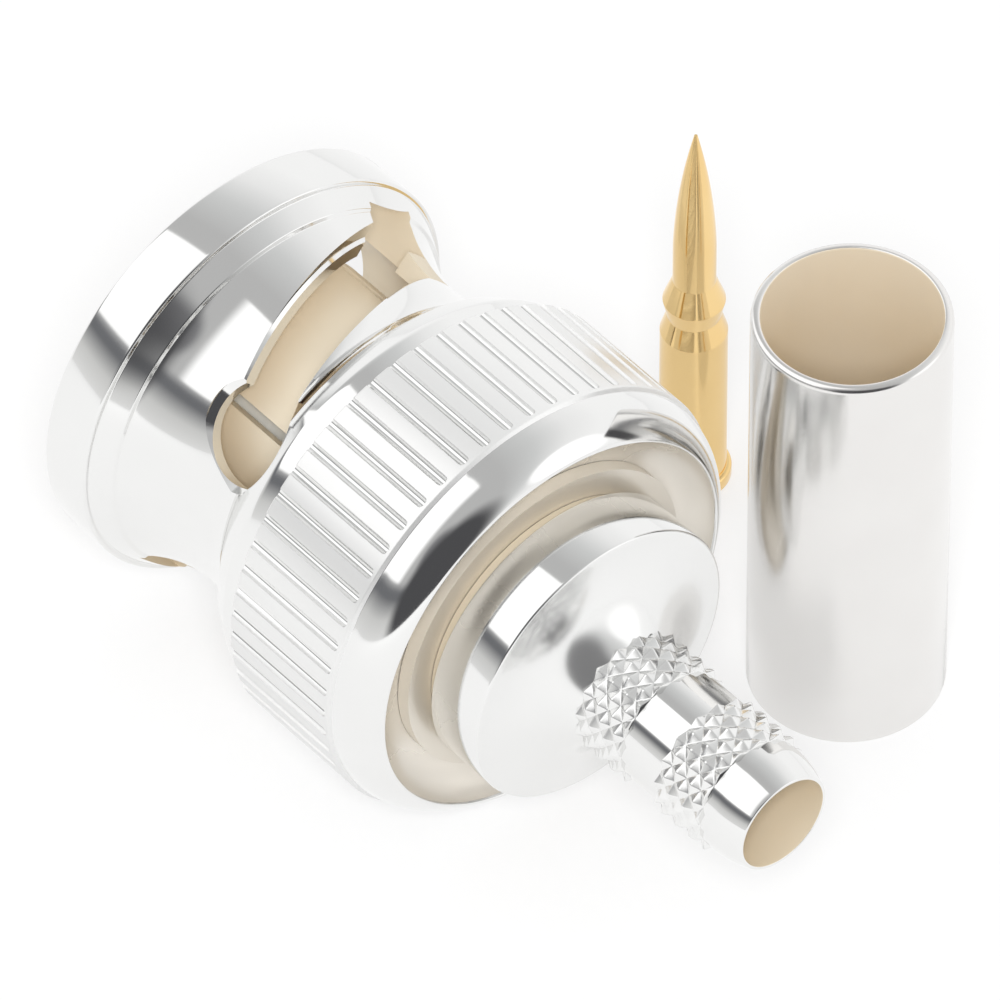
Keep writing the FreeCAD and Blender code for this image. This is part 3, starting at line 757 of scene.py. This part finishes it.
# White cloth lit from outside: its brightness falls off softly between the lamps
lit_cloth = bpy.data.materials.new("backlit white cloth")
lit_cloth.use_nodes = True
tree = lit_cloth.node_tree
tree.nodes.clear()
place = add_node(tree, "ShaderNodeTexCoord").outputs["Object"]
parts = add_node(tree, "ShaderNodeSeparateXYZ", links={0: place}).outputs
turn = add_node(tree, "ShaderNodeMath", {"operation": "ARCTAN2"}, {0: parts["Y"], 1: parts["Z"]})
turn = add_node(
    tree,
    "ShaderNodeMapRange",
    {"From Min": -math.pi, "From Max": math.pi},
    {"Value": turn.outputs[0]},
)
round_ramp = add_node(tree, "ShaderNodeValToRGB", links={"Fac": turn.outputs["Result"]})
stops = round_ramp.color_ramp.elements
stops[0].color = stops[1].color = colour("e8e8e8")
for degrees, shade in (
    (-62, "ebebeb"),
    (-44, "e0e0e0"),
    (-26, "c2c3c3"),
    (-7, "aeaeae"),
    (60, "aeaeae"),
    (65, "66676a"),
    (69, "66676a"),
    (80, "c0c0bf"),
    (104, "e6e6e6"),
):
    stops.new(share_of_turn(degrees)).color = colour(shade)

# The softbox overhead, from 5 to 61 degrees round the axis, stops short of the camera
turn = turn.outputs["Result"]
softbox = None
for output, outside, inside in (
    (turn, share_of_turn(4.4), share_of_turn(5.6)),
    (turn, share_of_turn(62), share_of_turn(60)),
    (parts["X"], tent_place(0, -18)[0], tent_place(0, -8)[0]),
):
    limits = {"From Min": outside, "From Max": inside, "interpolation_type": "SMOOTHSTEP"}
    share = add_node(tree, "ShaderNodeMapRange", limits, {"Value": output}).outputs["Result"]
    if softbox is not None:
        both = add_node(tree, "ShaderNodeMath", {"operation": "MULTIPLY"}, {0: softbox, 1: share})
        share = both.outputs[0]
    softbox = share
shade = add_node(
    tree,
    "ShaderNodeMix",
    {"data_type": "RGBA", 7: colour("ffffff")},
    {0: softbox, 6: round_ramp.outputs["Color"]},
).outputs[2]
# Round patches: a white card, and dark ones where the camera and its stand keep the light off.
# Each has a centre, the angles from it where it starts to fade and where it ends, and a shade.
for centre, full, faded, patch_shade in (
    ((-58, -48), 15, 19, "ffffff"),
    ((40, -32), 6, 15, "78787a"),
    ((57, -58), 24, 38, "48484a"),
):
    from_centre = {"operation": "DISTANCE", 1: tent_place(*centre)}
    distance = add_node(tree, "ShaderNodeVectorMath", from_centre, {0: place})
    chords = [2 * TENT_RADIUS * math.sin(math.radians(angle) / 2) for angle in (faded, full)]
    share = add_node(
        tree,
        "ShaderNodeMapRange",
        {"From Min": chords[0], "From Max": chords[1], "interpolation_type": "SMOOTHSTEP"},
        {"Value": distance.outputs["Value"]},
    )
    shade = add_node(
        tree,
        "ShaderNodeMix",
        {"data_type": "RGBA", 7: colour(patch_shade)},
        {0: share.outputs["Result"], 6: shade},
    ).outputs[2]
glow = add_node(tree, "ShaderNodeEmission", {"Strength": TENT_GLOW}, {"Color": shade})
add_node(tree, "ShaderNodeOutputMaterial", links={"Surface": glow.outputs[0]})
tent.data.materials.append(lit_cloth)
tent.visible_camera = False
tent.visible_diffuse = False

# The room round the tent lights the object evenly
ROOM_GLOW = 0.7
world = bpy.data.worlds.new("white room")
world.use_nodes = True
world.node_tree.nodes["Background"].inputs["Color"].default_value = colour("ffffff")
world.node_tree.nodes["Background"].inputs["Strength"].default_value = ROOM_GLOW
bpy.context.scene.world = world
bpy.context.scene.view_settings.view_transform = "Standard"

# Camera: it looks down at 48 degrees with a long lens, as in a catalogue picture
AIM = Vector((-3.3611, -6.2858, -7.25)) * MM
TO_CAMERA = Vector((-0.5058, 0.4380, 0.7431)).normalized()
CAMERA_DISTANCE = 0.6
CAMERA_TURN = TO_CAMERA.to_track_quat("Z", "Y").to_euler()
bpy.ops.object.camera_add(location=AIM + TO_CAMERA * CAMERA_DISTANCE, rotation=CAMERA_TURN)
camera = bpy.context.object
camera.data.lens = 737.8
camera.data.sensor_width = 36
bpy.context.scene.camera = camera

# A soft lamp beside the lens lights the insides of the bores
LAMP_DISTANCE = 0.55
LAMP_SIZE = 0.12
LAMP_WATTS = 1.25
bpy.ops.object.light_add(type="AREA", location=AIM + TO_CAMERA * LAMP_DISTANCE, rotation=CAMERA_TURN)
lamp = bpy.context.object
lamp.data.shape = "DISK"
lamp.data.size = LAMP_SIZE
lamp.data.energy = LAMP_WATTS
lamp.visible_glossy = False
